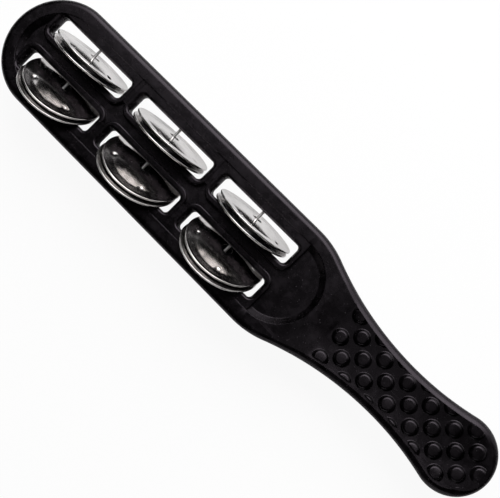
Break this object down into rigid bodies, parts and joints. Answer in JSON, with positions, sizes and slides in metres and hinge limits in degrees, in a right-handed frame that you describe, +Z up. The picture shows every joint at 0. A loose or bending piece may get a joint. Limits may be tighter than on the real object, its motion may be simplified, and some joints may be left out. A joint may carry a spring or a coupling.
{
  "type": "jingle stick",
  "caption": "Hand-held jingle stick: a flat black moulded paddle with a studded grip and two rows of paired, domed metal jingles rocking loosely on cross pins.",
  "frame": {"origin": "at the level of the lowest jingle rims, under the middle of the stick's length and width", "axes": "+X along the stick towards the handle, +Y across it towards the edge with the pin heads, +Z up through the face shown"},
  "size_m": [0.2584, 0.0481, 0.0358],
  "materials": {
    "black_plastic": "satin black moulded plastic with fine specks and light scuffs",
    "pin_steel": "bright drawn steel wire",
    "nickel_plate": "bright nickel plate on pressed steel sheet"
  },
  "bodies": {
    "stick": {"stick_body": "black_plastic", "jingle_pin_1": "pin_steel", "jingle_pin_2": "pin_steel", "jingle_pin_3": "pin_steel"},
    "right_upper_jingle_1": {"jingle_right_upper_1": "nickel_plate"},
    "right_lower_jingle_1": {"jingle_right_lower_1": "nickel_plate"},
    "right_upper_jingle_2": {"jingle_right_upper_2": "nickel_plate"},
    "right_lower_jingle_2": {"jingle_right_lower_2": "nickel_plate"},
    "right_upper_jingle_3": {"jingle_right_upper_3": "nickel_plate"},
    "right_lower_jingle_3": {"jingle_right_lower_3": "nickel_plate"},
    "left_upper_jingle_1": {"jingle_left_upper_1": "nickel_plate"},
    "left_lower_jingle_1": {"jingle_left_lower_1": "nickel_plate"},
    "left_upper_jingle_2": {"jingle_left_upper_2": "nickel_plate"},
    "left_lower_jingle_2": {"jingle_left_lower_2": "nickel_plate"},
    "left_upper_jingle_3": {"jingle_left_upper_3": "nickel_plate"},
    "left_lower_jingle_3": {"jingle_left_lower_3": "nickel_plate"}
  },
  "joints": [
    {"name": "right_upper_rock_1", "type": "hinge", "parent": "stick", "child": "right_upper_jingle_1", "pos_m": [-0.0953, 0.00975, 0.01922], "axis": [1, 0, 0], "range_deg": [-17, 5]},
    {"name": "right_lower_rock_1", "type": "hinge", "parent": "stick", "child": "right_lower_jingle_1", "pos_m": [-0.0953, 0.00585, 0.01922], "axis": [1, 0, 0], "range_deg": [-17, 5]},
    {"name": "right_upper_rock_2", "type": "hinge", "parent": "stick", "child": "right_upper_jingle_2", "pos_m": [-0.0484, 0.00975, 0.01922], "axis": [1, 0, 0], "range_deg": [-17, 5]},
    {"name": "right_lower_rock_2", "type": "hinge", "parent": "stick", "child": "right_lower_jingle_2", "pos_m": [-0.0484, 0.00585, 0.01922], "axis": [1, 0, 0], "range_deg": [-17, 5]},
    {"name": "right_upper_rock_3", "type": "hinge", "parent": "stick", "child": "right_upper_jingle_3", "pos_m": [-0.0015, 0.00975, 0.01922], "axis": [1, 0, 0], "range_deg": [-17, 5]},
    {"name": "right_lower_rock_3", "type": "hinge", "parent": "stick", "child": "right_lower_jingle_3", "pos_m": [-0.0015, 0.00585, 0.01922], "axis": [1, 0, 0], "range_deg": [-17, 5]},
    {"name": "left_upper_rock_1", "type": "hinge", "parent": "stick", "child": "left_upper_jingle_1", "pos_m": [-0.0953, -0.00707, 0.01922], "axis": [1, 0, 0], "range_deg": [-53, 0]},
    {"name": "left_lower_rock_1", "type": "hinge", "parent": "stick", "child": "left_lower_jingle_1", "pos_m": [-0.0953, -0.01157, 0.01922], "axis": [1, 0, 0], "range_deg": [-53, 0]},
    {"name": "left_upper_rock_2", "type": "hinge", "parent": "stick", "child": "left_upper_jingle_2", "pos_m": [-0.0484, -0.00707, 0.01922], "axis": [1, 0, 0], "range_deg": [-53, 0]},
    {"name": "left_lower_rock_2", "type": "hinge", "parent": "stick", "child": "left_lower_jingle_2", "pos_m": [-0.0484, -0.01157, 0.01922], "axis": [1, 0, 0], "range_deg": [-53, 0]},
    {"name": "left_upper_rock_3", "type": "hinge", "parent": "stick", "child": "left_upper_jingle_3", "pos_m": [-0.0015, -0.00707, 0.01922], "axis": [1, 0, 0], "range_deg": [-53, 0]},
    {"name": "left_lower_rock_3", "type": "hinge", "parent": "stick", "child": "left_lower_jingle_3", "pos_m": [-0.0015, -0.01157, 0.01922], "axis": [1, 0, 0], "range_deg": [-53, 0]}
  ],
  "couplings": [
    {"joint": "right_lower_rock_1", "follows": "right_upper_rock_1", "ratio": 1},
    {"joint": "right_lower_rock_2", "follows": "right_upper_rock_2", "ratio": 1},
    {"joint": "right_lower_rock_3", "follows": "right_upper_rock_3", "ratio": 1},
    {"joint": "left_lower_rock_1", "follows": "left_upper_rock_1", "ratio": 1},
    {"joint": "left_lower_rock_2", "follows": "left_upper_rock_2", "ratio": 1},
    {"joint": "left_lower_rock_3", "follows": "left_upper_rock_3", "ratio": 1}
  ]
}
